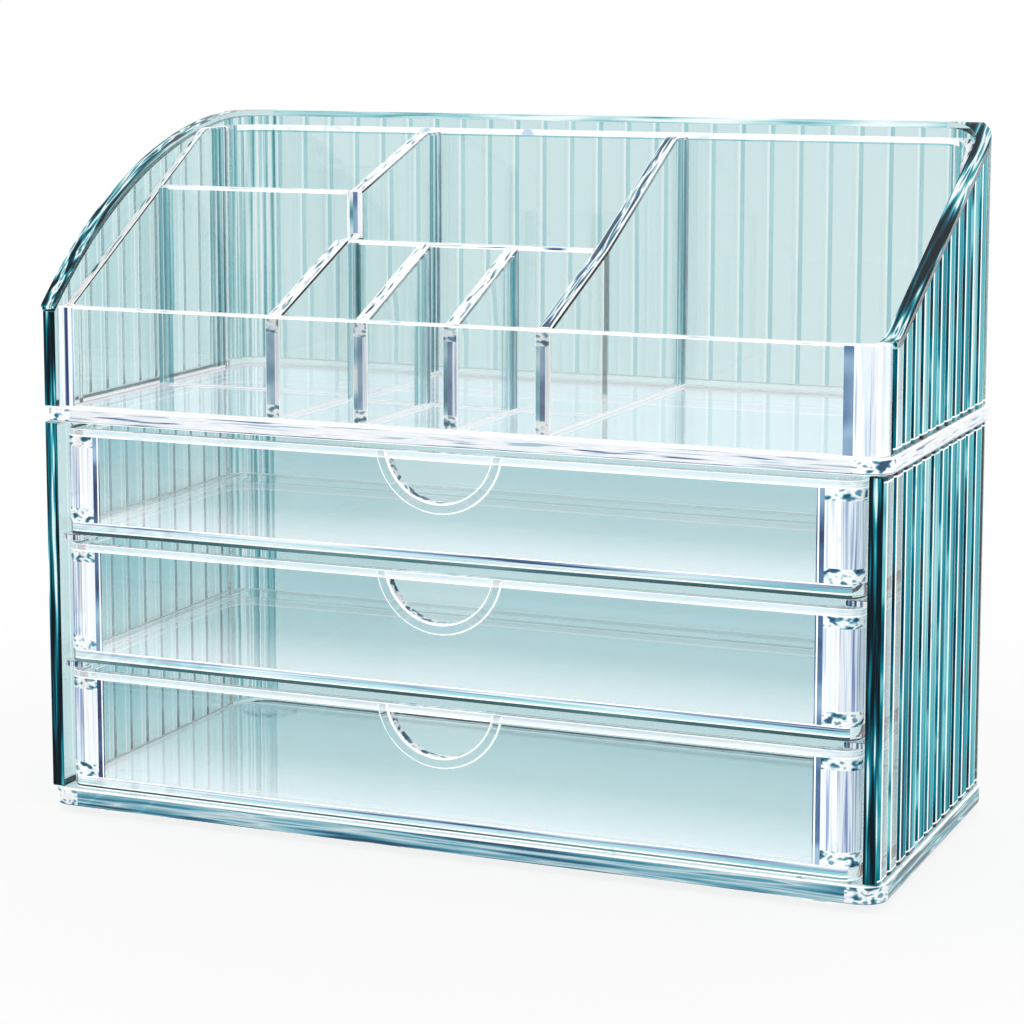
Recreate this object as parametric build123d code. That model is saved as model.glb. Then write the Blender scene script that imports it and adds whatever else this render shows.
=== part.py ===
from build123d import *
from math import cos, pi, radians, sin, sqrt
import os

# A desktop organizer for make-up in clear and tinted plastic, in two storeys: a cabinet with
# drawers, and an open tray with dividers that stands on it and lifts off.
# Millimetres. X runs left to right, Y front to back, Z up. The origin is on the table,
# under the middle of the base slab, and the drawers open towards -Y.

# Overall plan, shared by the base slab and the tray's slab
width = 280.0
depth = 135.0
slab_front_radius = 8.0
slab_rear_radius = 18.0
slab_edge_radius = 1.0

# Feet
foot_diameter = 20.0
foot_height = 2.5
foot_side_inset = 10.0
foot_end_inset = 6.0
foot_edge_radius = 0.8

# Cabinet slab and reeded walls
base_thickness = 6.0
wall_thickness = 5.0
wall_setback = 0.8
wall_corner_radius = 17.0
reed_depth = 1.1
reed_pitch = 10.2

# Drawers and the runners that carry them
drawer_height = 39.0
top_drawer_height = 34.5
drawer_depth = 114.0
drawer_side_gap = 1.9
drawer_slide_gap = 0.3
drawer_rim_gap = 0.5
top_drawer_headroom = 1.9
drawer_wall = 3.5
drawer_floor = 3.5
drawer_outer_radius = 5.5
drawer_inner_radius = 8.5
drawer_floor_radius = 1.5
runner_thickness = 2.0
runner_width = 7.0
runner_setback = 2.0

# Finger grip: a half-round opening under the rim of each drawer front, with a raised lip
grip_width = 42.0
grip_drop = 18.8
grip_lip_width = 3.4
grip_lip_height = 0.6
grip_bar = 2.6

# Tray slab and walls
tray_base_thickness = 5.0
tray_front_height = 32.5
tray_rear_height = 90.0
tray_arc_rise = 13.0
right_slope_start = 4.5
right_slope_blend = 18.0
front_thickness = 3.5
front_corner_radius = 6.0
front_left_radius = 2.0
front_inner_radius = 4.5
front_post_width = 7.0
front_post_depth = 6.5
front_return_depth = 9.0
liner_thickness = 3.0
liner_drop = 5.0
liner_level_length = 14.9
liner_leg = 6.0

# Dividers
divider_thickness = 5.0
left_bay_width = 71.3
slot_width = 25.1
front_bay_depth = 47.0
low_cross_height = 52.0
tall_cross_height = 67.2
tall_cross_setback = 11.0
divider_drop = 1.0
divider_level_end = 12.0
divider_bend_radius = 8.0

# How far a cutting shape reaches past the piece that it cuts
margin = 5.0

# Places worked out from the sizes above
half_width = width / 2
half_depth = depth / 2
crown_x = half_width - wall_setback
valley_x = crown_x - reed_depth
inner_x = crown_x - wall_thickness
wall_front = -half_depth + wall_setback
wall_rear = half_depth - wall_setback
inner_rear = wall_rear - wall_thickness
corner_start = wall_rear - wall_corner_radius

base_top = foot_height + base_thickness
drawer_half = inner_x - drawer_side_gap
drawer_heights = {
    "drawer_bottom": drawer_height,
    "drawer_middle": drawer_height,
    "drawer_top": top_drawer_height,
}
seat = base_top
drawer_seats = {}
for name, height in drawer_heights.items():
    drawer_seats[name] = seat
    drawer_rim = seat + drawer_slide_gap + height
    seat = drawer_rim + drawer_rim_gap + runner_thickness
cabinet_top = drawer_rim + top_drawer_headroom

tray_floor = cabinet_top + tray_base_thickness
front_top = tray_floor + tray_front_height
rim_top = tray_floor + tray_rear_height
liner_top = rim_top - liner_drop
liner_x = -inner_x + liner_thickness
liner_rear = inner_rear - liner_thickness
liner_joint = corner_start - liner_leg
front_inner = wall_front + front_thickness
post_rear = wall_front + front_post_depth
return_rear = wall_front + front_return_depth
cross_front = front_inner + front_bay_depth
cross_rear = cross_front + divider_thickness
tall_front = cross_front + tall_cross_setback
tall_rear = tall_front + divider_thickness
low_cross_top = tray_floor + low_cross_height
tall_cross_top = tray_floor + tall_cross_height
divider_top = liner_top - divider_drop
divider_level = liner_rear - divider_level_end
divider_pitch = slot_width + divider_thickness
first_divider = liner_x + left_bay_width

parts = {}


def outline(*corners):
    """A flat face whose corners are given as (x, y, radius)."""
    face = make_face(Polyline(*[(x, y) for x, y, r in corners], close=True))
    for x, y, r in corners:
        if r > 0:
            corner = face.vertices().sort_by_distance((x, y, 0))[0]
            face = fillet(corner, r)
    return face


def plate(x0, x1, y0, y1, z0, z1, front_radius=0.0, rear_radius=0.0):
    """An upright block with its four corners rounded in plan."""
    face = outline(
        (x0, y0, front_radius),
        (x1, y0, front_radius),
        (x1, y1, rear_radius),
        (x0, y1, rear_radius),
    )
    return extrude(Pos(0, 0, z0) * face, z1 - z0)


def side_panel(x0, thickness, *corners):
    """A panel that stands front to back, from corners given as (y, z, radius)."""
    return extrude(Plane.YZ.offset(x0) * outline(*corners), thickness)


def slab(z0, thickness):
    """A flat slab with the plan of the whole object and softened edges."""
    solid = plate(
        -half_width, half_width, -half_depth, half_depth, z0, z0 + thickness,
        slab_front_radius, slab_rear_radius,
    )
    rims = solid.faces().filter_by(Axis.Z).edges()
    return fillet(rims, slab_edge_radius)


def reeds_along(start, end, outward):
    """Arcs from start to end, side by side, that each bulge along outward by one reed."""
    start, end, outward = Vector(*start), Vector(*end), Vector(*outward)
    count = max(1, round((end - start).length / reed_pitch))
    step = (end - start) / count
    arcs = []
    for i in range(count):
        valley = start + step * i
        crown = valley + step / 2 + outward * reed_depth
        arcs.append(ThreePointArc(valley, crown, valley + step))
    return arcs


def reeds_round(centre, first_angle):
    """Arcs round a quarter turn of the rear corner, clockwise from first_angle."""
    valley_radius = wall_corner_radius - reed_depth
    count = max(1, round(wall_corner_radius * pi / 2 / reed_pitch))
    step = -pi / 2 / count

    def at(angle, radius):
        return (centre[0] + radius * cos(angle), centre[1] + radius * sin(angle))

    arcs = []
    for i in range(count):
        angle = radians(first_angle) + step * i
        arcs.append(ThreePointArc(
            at(angle, valley_radius),
            at(angle + step / 2, wall_corner_radius),
            at(angle + step, valley_radius),
        ))
    return arcs


def reeded_walls(z0, z1, right_front, reeded_rear):
    """Left, rear and right wall in one bent piece: reeded outside, flat inside."""
    corner_x = crown_x - wall_corner_radius
    rear_valley = wall_rear - reed_depth
    inner_radius = wall_corner_radius - wall_thickness
    diagonal = inner_radius * sqrt(0.5)
    rear_left = (-corner_x, rear_valley)
    rear_right = (corner_x, rear_valley)
    edges = reeds_along((-valley_x, wall_front), (-valley_x, corner_start), (-1, 0))
    edges += reeds_round((-corner_x, corner_start), 180)
    if reeded_rear:
        edges += reeds_along(rear_left, rear_right, (0, 1))
    else:
        edges.append(Line(rear_left, rear_right))
    edges += reeds_round((corner_x, corner_start), 90)
    edges += reeds_along((valley_x, corner_start), (valley_x, right_front), (1, 0))
    edges += [
        Line((valley_x, right_front), (inner_x, right_front)),
        Line((inner_x, right_front), (inner_x, corner_start)),
        ThreePointArc(
            (inner_x, corner_start),
            (corner_x + diagonal, corner_start + diagonal),
            (corner_x, inner_rear),
        ),
        Line((corner_x, inner_rear), (-corner_x, inner_rear)),
        ThreePointArc(
            (-corner_x, inner_rear),
            (-corner_x - diagonal, corner_start + diagonal),
            (-inner_x, corner_start),
        ),
        Line((-inner_x, corner_start), (-inner_x, wall_front)),
        Line((-inner_x, wall_front), (-valley_x, wall_front)),
    ]
    return extrude(Pos(0, 0, z0) * make_face(Wire(edges)), z1 - z0)


def runner(x0, z0):
    """A ledge on a side wall that carries one edge of a drawer."""
    return plate(x0, x0 + runner_width, wall_front + runner_setback, corner_start,
                 z0, z0 + runner_thickness)


def foot(x, y):
    """A round pad under the base slab."""
    pad = Pos(x, y, foot_height / 2) * Cylinder(foot_diameter / 2, foot_height)
    return fillet(pad.faces().sort_by(Axis.Z)[0].edges(), foot_edge_radius)


def drawer(z0, height):
    """A one-piece drawer with a half-round grip opening under the rim of its front."""
    z1 = z0 + height
    rear = wall_front + drawer_depth
    box = plate(-drawer_half, drawer_half, wall_front, rear, z0, z1,
                drawer_outer_radius, drawer_outer_radius)
    hollow = plate(-drawer_half + drawer_wall, drawer_half - drawer_wall,
                   wall_front + drawer_wall, rear - drawer_wall,
                   z0 + drawer_floor, z1 + drawer_wall,
                   drawer_inner_radius, drawer_inner_radius)
    hollow = fillet(hollow.faces().sort_by(Axis.Z)[0].edges(), drawer_floor_radius)

    lip_radius = ((grip_width / 2) ** 2 + grip_drop ** 2) / (2 * grip_drop)
    centre = (0, z1 + lip_radius - grip_drop)
    hole_radius = lip_radius - grip_lip_width
    above_bar = Pos(0, z1 - grip_bar + lip_radius) * Rectangle(grip_width, 2 * lip_radius)
    above_rim = Pos(0, z1 + lip_radius) * Rectangle(grip_width + drawer_wall, 2 * lip_radius)
    opening = Pos(*centre) * Circle(hole_radius) - above_bar
    ring = Pos(*centre) * Circle(lip_radius) - Pos(*centre) * Circle(hole_radius) - above_rim

    lip_plane = Plane.XZ.offset(-wall_front)
    lip = extrude(lip_plane * ring, grip_lip_height)
    cut = extrude(lip_plane * opening, -drawer_wall) + extrude(lip_plane * opening, grip_lip_height)
    return box - hollow + lip - cut


def above_right_slope(drop, slope_end):
    """The space over the slope of the tray's right wall, lowered by drop, from its bend to slope_end."""
    top = rim_top - drop
    face = outline(
        (return_rear - margin, front_top - drop, 0),
        (return_rear + right_slope_start, front_top - drop, right_slope_blend),
        (slope_end, top, 0),
        (slope_end, top + margin, 0),
        (return_rear - margin, top + margin, 0),
    )
    return extrude(Plane.YZ.offset(crown_x + margin) * face, -wall_corner_radius - margin)


def tray_walls():
    """The tray's reeded walls: the left one falls to the front in an arc, the right one straight."""
    walls = reeded_walls(tray_floor, rim_top, return_rear, True)
    arc = SagittaArc((wall_front, front_top), (inner_rear, rim_top), tray_arc_rise)
    left_cut = make_face(Wire([
        arc.edge(),
        Line((inner_rear, rim_top), (inner_rear, rim_top + margin)),
        Line((inner_rear, rim_top + margin), (wall_front - margin, rim_top + margin)),
        Line((wall_front - margin, rim_top + margin), (wall_front - margin, front_top)),
        Line((wall_front - margin, front_top), (wall_front, front_top)),
    ]))
    walls -= extrude(Plane.YZ.offset(-crown_x - margin) * left_cut, wall_corner_radius + margin)
    return walls - above_right_slope(0, inner_rear)


def tray_front():
    """The low clear front, with a thick post at its left and a short return round the right."""
    face = outline(
        (-inner_x, wall_front, front_left_radius),
        (valley_x, wall_front, front_corner_radius),
        (valley_x, return_rear, 0),
        (inner_x, return_rear, 0),
        (inner_x, front_inner, front_inner_radius),
        (-inner_x + front_post_width, front_inner, 0),
        (-inner_x + front_post_width, post_rear, 0),
        (-inner_x, post_rear, 0),
    )
    return extrude(Pos(0, 0, tray_floor) * face, tray_front_height)


def rear_liner():
    """The clear liner behind the dividers, bent round the inside of both rear corners."""
    bend = wall_corner_radius - wall_thickness
    sheet = plate(-inner_x, inner_x, liner_joint, inner_rear, tray_floor, liner_top, 0, bend)
    hollow = plate(liner_x, -liner_x, wall_front, liner_rear, tray_floor, liner_top,
                   0, bend - liner_thickness)
    return sheet - hollow - above_right_slope(liner_drop, liner_rear)


def full_divider(x0, front_half):
    """A divider from the front wall to the rear liner; front_half lists its front top corners."""
    return side_panel(
        x0, divider_thickness,
        (front_inner, tray_floor, 0),
        (front_inner, front_top, 0),
        *front_half,
        (divider_level, divider_top, divider_bend_radius),
        (liner_rear, divider_top, 0),
        (liner_rear, tray_floor, 0),
    )


def slot_divider(x0):
    """A short divider between the front wall and the low cross divider."""
    return side_panel(
        x0, divider_thickness,
        (front_inner, tray_floor, 0),
        (front_inner, front_top, 0),
        (cross_front, low_cross_top, 0),
        (cross_front, tray_floor, 0),
    )


# Cabinet
parts["cabinet_base"] = slab(foot_height, base_thickness)
parts["cabinet_shell"] = reeded_walls(base_top, cabinet_top, wall_front, False)
for level, above in (("lower", "drawer_middle"), ("upper", "drawer_top")):
    ledge_z = drawer_seats[above] - runner_thickness
    parts[f"runner_{level}_left"] = runner(-inner_x, ledge_z)
    parts[f"runner_{level}_right"] = runner(inner_x - runner_width, ledge_z)
foot_x = half_width - foot_side_inset - foot_diameter / 2
foot_y = half_depth - foot_end_inset - foot_diameter / 2
for end, y in (("front", -foot_y), ("rear", foot_y)):
    for side, x in (("left", -foot_x), ("right", foot_x)):
        parts[f"foot_{end}_{side}"] = foot(x, y)
for name, height in drawer_heights.items():
    parts[name] = drawer(drawer_seats[name] + drawer_slide_gap, height)

# Tray
parts["tray_base"] = slab(cabinet_top, tray_base_thickness)
parts["tray_shell"] = tray_walls()
parts["tray_front"] = tray_front()
parts["liner_left"] = side_panel(
    -inner_x, liner_thickness,
    (post_rear, tray_floor, 0),
    (post_rear, front_top, 0),
    (liner_joint - liner_level_length, liner_top, divider_bend_radius),
    (liner_joint, liner_top, 0),
    (liner_joint, tray_floor, 0),
)
parts["liner_rear"] = rear_liner()

divider_x = [first_divider + i * divider_pitch for i in range(4)]
parts["divider_left"] = full_divider(divider_x[0], [
    (cross_front, low_cross_top, divider_bend_radius / 2),
    (tall_front, low_cross_top, 0),
    (tall_front, tall_cross_top, 0),
])
parts["divider_slot_left"] = slot_divider(divider_x[1])
parts["divider_slot_right"] = slot_divider(divider_x[2])
parts["divider_right"] = full_divider(divider_x[3], [
    (cross_front, low_cross_top, divider_bend_radius),
])
parts["cross_divider_low"] = plate(
    divider_x[0] + divider_thickness, divider_x[3], cross_front, cross_rear,
    tray_floor, low_cross_top,
)
parts["cross_divider_tall"] = plate(
    liner_x, divider_x[0], tall_front, tall_rear, tray_floor, tall_cross_top,
)

os.makedirs("parts", exist_ok=True)
for name, solid in parts.items():
    export_step(solid, f"parts/{name}.step")
    box = solid.bounding_box()
    print(f"{name}: {solid.volume / 1000:.2f} cm3, Z {box.min.Z:.1f} to {box.max.Z:.1f}")
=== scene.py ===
# %% [markdown]
# # A make-up organizer in clear and teal acrylic
# The object is a desktop organizer in two storeys. The lower storey is a cabinet with three
# drawers. The upper one is an open tray with dividers, which stands on the cabinet and lifts off.
# Everything is clear plastic, apart from the reeded side and rear walls, which are tinted teal.
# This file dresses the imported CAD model: it reads the CAD solids as a fixed frame, builds glass-like
# pieces with soft edges in their places, and gives each one a material.

# %% Load the frame
from math import acos, atan2, cos, pi, radians, sin, sqrt, tan

import bmesh
import bpy
from mathutils import Matrix, Vector


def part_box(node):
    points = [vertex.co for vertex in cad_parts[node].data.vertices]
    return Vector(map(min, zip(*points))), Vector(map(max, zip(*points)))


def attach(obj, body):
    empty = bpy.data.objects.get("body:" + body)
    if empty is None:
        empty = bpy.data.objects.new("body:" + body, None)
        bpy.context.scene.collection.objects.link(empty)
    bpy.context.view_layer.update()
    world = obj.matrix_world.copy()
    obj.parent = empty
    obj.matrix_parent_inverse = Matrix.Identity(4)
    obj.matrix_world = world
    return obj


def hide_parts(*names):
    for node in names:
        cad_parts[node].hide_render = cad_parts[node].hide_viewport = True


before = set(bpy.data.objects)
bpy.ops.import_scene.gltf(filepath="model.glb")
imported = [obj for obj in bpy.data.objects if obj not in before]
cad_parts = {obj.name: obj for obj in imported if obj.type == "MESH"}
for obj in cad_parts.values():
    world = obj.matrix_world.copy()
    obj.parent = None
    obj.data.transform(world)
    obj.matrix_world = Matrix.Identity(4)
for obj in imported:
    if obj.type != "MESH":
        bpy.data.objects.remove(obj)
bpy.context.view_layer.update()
scene = bpy.context.scene

# %% [markdown]
# ## Working in millimetres
# The frame is in metres. Millimetres are easier to think in for a moulded part, so every mesh is
# drawn in millimetres and scaled down once, when it is finished.
# Clear pieces that touch need a hair's breadth of air between them. Two glass faces in the very
# same place confuse the renderer, and real glued or stacked acrylic shows a bright line there too.

# %% Sizes shared by many pieces
AIR = 0.06
wall_thickness = 5.0
bend_radius = 17.0
wall_setback = 0.8
reed_pitch = 10.2


def box_mm(node):
    """Lowest and highest corner of a CAD node, in millimetres."""
    low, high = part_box(node)
    return low * 1000, high * 1000


half_width, half_depth = box_mm("cabinet_base")[1].xy
valley_x, return_rear, front_top = box_mm("tray_front")[1]
cabinet_top, tray_floor = [corner.z for corner in box_mm("tray_base")]
rim_top = box_mm("tray_shell")[1].z
crown_x = half_width - wall_setback
inner_x = crown_x - wall_thickness
bend = bend_radius - wall_thickness
wall_front = -half_depth + wall_setback
wall_rear = half_depth - wall_setback
inner_rear = wall_rear - wall_thickness
corner_start = wall_rear - bend_radius
bend_x = crown_x - bend_radius
sheet_foot = tray_floor + AIR
print("tray floor, front wall and rim at", [round(z, 2) for z in (tray_floor, front_top, rim_top)])

# %% [markdown]
# ## Colour and nodes
# Colours are written as sRGB hex values, as a paint chart gives them. Blender's shaders expect
# linear values, so one function converts them. A second function adds a shader node together with
# its settings and its links, which keeps each material readable.

# %% Helpers for materials


def rgba(code):
    """An sRGB hex colour such as '#C9E0E2' as linear red, green and blue, with full alpha."""
    channels = [int(code[i:i + 2], 16) / 255 for i in (1, 3, 5)]
    return (*[c / 12.92 if c <= 0.04045 else ((c + 0.055) / 1.055) ** 2.4 for c in channels], 1.0)


def add(tree, kind, settings=None, links=None):
    """Adds a shader node of a kind such as 'TexNoise'. settings go to its properties or sockets, and
    links join other outputs to its sockets."""
    node = tree.nodes.new("ShaderNode" + kind)
    for key, value in (settings or {}).items():
        if isinstance(key, str) and hasattr(node, key) and key not in node.inputs:
            setattr(node, key, value)
        else:
            node.inputs[key].default_value = value
    for key, output in (links or {}).items():
        tree.links.new(output, node.inputs[key])
    return node


def new_material(name):
    """An empty node material, its tree and its output node."""
    material = bpy.data.materials.new(name)
    material.use_nodes = True
    material.node_tree.nodes.clear()
    return material, material.node_tree, add(material.node_tree, "OutputMaterial")


def set_ramp(node, stops):
    """Fills a colour ramp from stops such as '34 #14275C 60 #FFFFFF', with places in percent."""
    words = stops.split()
    pairs = list(zip(words[::2], words[1::2]))
    elements = node.color_ramp.elements
    while len(elements) < len(pairs):
        elements.new(1.0)
    for element, (percent, code) in zip(elements, pairs):
        element.position, element.color = int(percent) / 100, rgba(code)


def streaks(tree, place, cell, stops, noise, turn=0.0):
    """Colours in streaks. cell is the size of a streak along x, y and z in mm, and turn tips it about
    the x axis, in degrees. Returns the noise node and the colour node."""
    size = {"vector_type": "TEXTURE", "Scale": [length / 1000 for length in cell],
            "Rotation": (radians(turn), 0, 0)}
    sized = add(tree, "Mapping", size, {"Vector": place})
    patches = add(tree, "TexNoise", {"Scale": 1.0, **noise}, {"Vector": sized.outputs[0]})
    colours = add(tree, "ValToRGB", links={0: patches.outputs["Fac"]})
    set_ramp(colours, stops)
    return patches, colours


# %% [markdown]
# ## Acrylic
# Cast and moulded acrylic (PMMA) has an IOR of 1.49 and a mirror-smooth skin. A Principled shader
# with full transmission gives it. The tint is put on the faces and not in a volume: light is tinted
# where it enters and where it leaves, and each face can have a tint of its own. Cycles also keeps
# one volume for each material, and these pieces have several.
# Moulded sheet is never perfectly flat, so a long, shallow bump of a few centimetres bends the
# reflections a little, and a finer one stands for flow lines near the gate.

# %% Plastics
finishes = [None]


def keep(material):
    """Adds a material to the list of finishes. Faces are given finishes by their number in it."""
    finishes.append(material)
    return len(finishes) - 1


acrylic_ior, waviness, rough = 1.49, 0.03, 0.004
# patterns per metre: waves about 29 mm long, and flow lines 4 mm wide and 25 mm long
wave_scale, flow_scale = 34.0, (260.0, 260.0, 40.0)


def acrylic(name, tone="#FFFFFF", more=None):
    """Polished plastic of one tone, with more settings for its shader. Returns its material, tree,
    Object coordinates and shader."""
    material, tree, output = new_material("moulded_acrylic_" + name)
    place = add(tree, "TexCoord").outputs["Object"]
    slow = add(tree, "TexNoise", {"Scale": wave_scale, "Detail": 1.0, "Roughness": 0.4},
               {"Vector": place})
    stretch = add(tree, "Mapping", {"Scale": flow_scale}, {"Vector": place})
    flow = add(tree, "TexNoise", {"Scale": 1.0, "Detail": 2.0}, {"Vector": stretch.outputs[0]})
    shine = add(tree, "MapRange",
                {"From Min": 0.35, "From Max": 0.75, "To Min": rough, "To Max": rough * 2.5},
                {"Value": flow.outputs["Fac"]})
    heights = add(tree, "Math", {"operation": "MULTIPLY_ADD", 1: 0.04},
                  {0: flow.outputs["Fac"], 2: slow.outputs["Fac"]})
    bump = add(tree, "Bump", {"Strength": waviness, "Distance": 0.0006},
               {"Height": heights.outputs[0]})
    surface = add(tree, "BsdfPrincipled",
                  {"Base Color": rgba(tone), "Transmission Weight": 1.0, "IOR": acrylic_ior,
                   **(more or {})},
                  {"Roughness": shine.outputs[0], "Normal": bump.outputs[0]})
    tree.links.new(surface.outputs[0], output.inputs["Surface"])
    return material, tree, place, surface


clear = keep(acrylic("clear", "#FBFDFD")[0])
tinted = keep(acrylic("teal", "#C9E2E4")[0])
aqua_plastic = keep(acrylic("aqua", "#D2ECEF")[0])
groove_plastic = keep(acrylic("teal_groove", "#F4FCFC")[0])
print("plastics:", [material.name for material in finishes[1:]])

# %% [markdown]
# ## Shaded and streaked plastic
# Some surfaces are not evenly tinted. Inside a drawer, little light reaches the upper part under
# the next drawer, so the plastic there looks greyer than near the drawer's floor. The side walls
# and rear corners are seen along their reeds, and each reed gathers the tint into upright columns,
# some deep teal, some pale. These columns are painted refraction, streaked into the colour.
# The right wall is seen at a very low angle. Its strips are mostly opaque and reflect nothing, a
# choice that follows the photo and not how acrylic behaves.

# %% Drawer plastic
drawer_low = box_mm("drawer_bottom")[0].z
drawer_step = box_mm("drawer_middle")[0].z - drawer_low
material, tree, place, surface = acrylic("clear_shaded")
height = add(tree, "SeparateXYZ", links={0: place})
level = add(tree, "Math",
            {"operation": "MULTIPLY_ADD", 1: 1000 / drawer_step, 2: -drawer_low / drawer_step},
            {0: height.outputs["Z"]})
within = add(tree, "Math", {"operation": "FRACT"}, {0: level.outputs[0]})
shade = add(tree, "ValToRGB", links={0: within.outputs[0]})
set_ramp(shade, "15 #F9FAFA 45 #EEF4F5 80 #DBEDF1")
tree.links.new(shade.outputs[0], surface.inputs["Base Color"])
drawer_plastic = keep(material)

# %% Drawer floor
# The floor lies flat under the light and throws it forward, most of all near the drawer's front.
# The tray's slab gathers a little of the same light. Both are given as a weak emission.
material, tree, place, surface = acrylic("clear_floor", more={"Emission Strength": 0.6})
depth = add(tree, "SeparateXYZ", links={0: place})
near = add(tree, "MapRange", {"From Min": 0.030, "From Max": -0.062}, {"Value": depth.outputs["Y"]})
thrown = add(tree, "ValToRGB", links={0: near.outputs[0]})
set_ramp(thrown, "0 #000000 45 #423E3F 100 #B0A0A2")
tree.links.new(thrown.outputs[0], surface.inputs["Emission Color"])
floor_plastic = keep(material)
slab_light = {"Emission Color": rgba("#FBF0FA"), "Emission Strength": 0.1}
slab_plastic = keep(acrylic("clear_slab", "#FCFCFD", slab_light)[0])


# %% Reeded plastic


def streaked(name, cell, stops, glassy=1.0, gloss=0.5):
    """Plastic whose surface colour runs in streaks."""
    material, tree, place, surface = acrylic(
        name, more={"Transmission Weight": glassy, "Specular IOR Level": gloss})
    patches, colours = streaks(tree, place, cell, stops, {"Detail": 2.0, "Roughness": 0.6})
    tree.links.new(colours.outputs[0], surface.inputs["Base Color"])
    return keep(material)


back_plastic = streaked("teal_back", (300, 300, 150), "35 #BEDEE2 65 #CAE6EA")
rear_plastic = streaked("teal_reed", (300, 300, 150), "35 #CAE2E4 65 #DEEFF0")
# painted refraction: deep teal and pale columns on the side walls, a paler front on the right wall,
# and dark and white streaks in the rear corners
left_plastic = streaked("teal_left_reed", (400, 20, 300), "34 #9AD0D6 50 #C4E5E8 66 #EAF7F8")
right_plastic = streaked(
    "teal_right_reed", (400, 7, 200),
    "34 #00495A 43 #0A8293 50 #30A8B6 60 #66C2CB 68 #BFE9EC", 0.12, 0.0)
front_plastic = streaked("pale_reed", (400, 2.5, 300), "35 #B7DBE1 48 #EDF8FA 60 #FFFFFF")
corner_plastic = streaked(
    "teal_corner_reed", (1.8, 1.8, 130), "34 #03444F 42 #1F7F8B 50 #6FB3BA 58 #D5EAEC 66 #FFFFFF")
plastics = len(finishes)
print("drawer step", round(drawer_step, 1), "mm and", plastics - 1, "plastics")

# %% [markdown]
# ## Polished edges
# A cut and polished edge of acrylic is the brightest part of it. Light that is caught in the sheet
# comes out there, so the edge glows a little, next to dark patches where it shows the inside. So
# the edges get finishes of their own in which this light and shade is painted: partly glassy,
# partly milky with a painted glow, and broken into white dashes of painted highlight and dark
# dashes of painted reflection. On uprights the dashes are drawn out into stripes. A hairline of
# painted highlight along each border stays white.

# %% Edge finishes


def dashed(name, cell, stops, glassy=0.3, turn=0.0, glow=0.18, gloss=0.5):
    """An edge finish of dashes of painted highlight and painted reflection, partly glassy and with a
    painted glow; turn tips them to follow a slope.
    """
    material, tree, output = new_material(name)
    place = add(tree, "TexCoord").outputs["Object"]
    patches, colours = streaks(tree, place, cell, stops, {"Detail": 1.5, "Distortion": 0.15}, turn)
    shine = add(tree, "MapRange", {"To Min": 0.05, "To Max": 0.12},
                {"Value": patches.outputs["Fac"]})
    surface = add(tree, "BsdfPrincipled",
                  {"Transmission Weight": glassy, "IOR": acrylic_ior, "Emission Strength": glow,
                   "Specular IOR Level": gloss},
                  {"Base Color": colours.outputs[0], "Emission Color": colours.outputs[0],
                   "Roughness": shine.outputs[0]})
    tree.links.new(surface.outputs[0], output.inputs["Surface"])
    return keep(material)


# In these ramps the white and pale stops are painted highlights, the navy and deep teal ones are
# painted reflections and shade, and the glow is painted light.
slope_angle = 26.6
# the white hairline is a painted highlight with a painted glow
painted_highlight_line = dashed("edge_painted_light_and_shade_clear_hairline", (9, 9, 9), "22 #B9CBE0 32 #FFFFFF", glow=0.35)
across = dashed(
    "edge_painted_light_and_shade_clear_across", (14, 1.8, 1.5),
    "28 #27457F 34 #9FB7D3 40 #FFFFFF 62 #FFFFFF 68 #C3D6E8", 0.25)
slope = dashed(
    "edge_painted_light_and_shade_clear_slope", (1.2, 9, 2.4),
    "31 #0E3A55 35 #5C90B0 39 #C5D8E8 43 #FFFFFF 61 #FFFFFF 65 #9CC6D0 70 #17606F",
    0.2, slope_angle)
deep_slope = dashed(
    "edge_painted_light_and_shade_clear_deep_slope", (1.3, 22, 2.4),
    "40 #0A3350 46 #23638C 49 #A5C2DA 52 #FFFFFF 56 #FFFFFF 60 #6FB0BE 66 #0E5A6B",
    0.2, slope_angle)
upright = dashed(
    "edge_painted_light_and_shade_clear_upright", (1.5, 1.5, 170),
    "34 #14275C 40 #4C74A2 44 #B4CCE0 48 #FFFFFF 56 #F2F8FC 62 #7FB5C4 68 #0F5468", 0.25)
navy_bar = dashed("edge_painted_light_and_shade_clear_navy_bar", (40, 40, 16), "36 #10224F 50 #3E618F 64 #93B1CD")
pale_bar = dashed(
    "edge_painted_light_and_shade_clear_pale_bar", (1.2, 1.2, 55), "33 #93A5D6 40 #EAF0FC 60 #FFFFFF 68 #C9DAEE", 0.2)
lilac_bar = dashed(
    "edge_painted_light_and_shade_clear_lilac_bar", (1.1, 1.1, 60),
    "34 #6F82B4 41 #B9C8E2 49 #F4F7FC 57 #DCE6F2 66 #93A9CC")
aqua_bar = dashed(
    "edge_painted_light_and_shade_clear_aqua_bar", (30, 30, 14), "34 #1B6B80 46 #5FA5B8 58 #C4E3EB 66 #FFFFFF")
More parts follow.
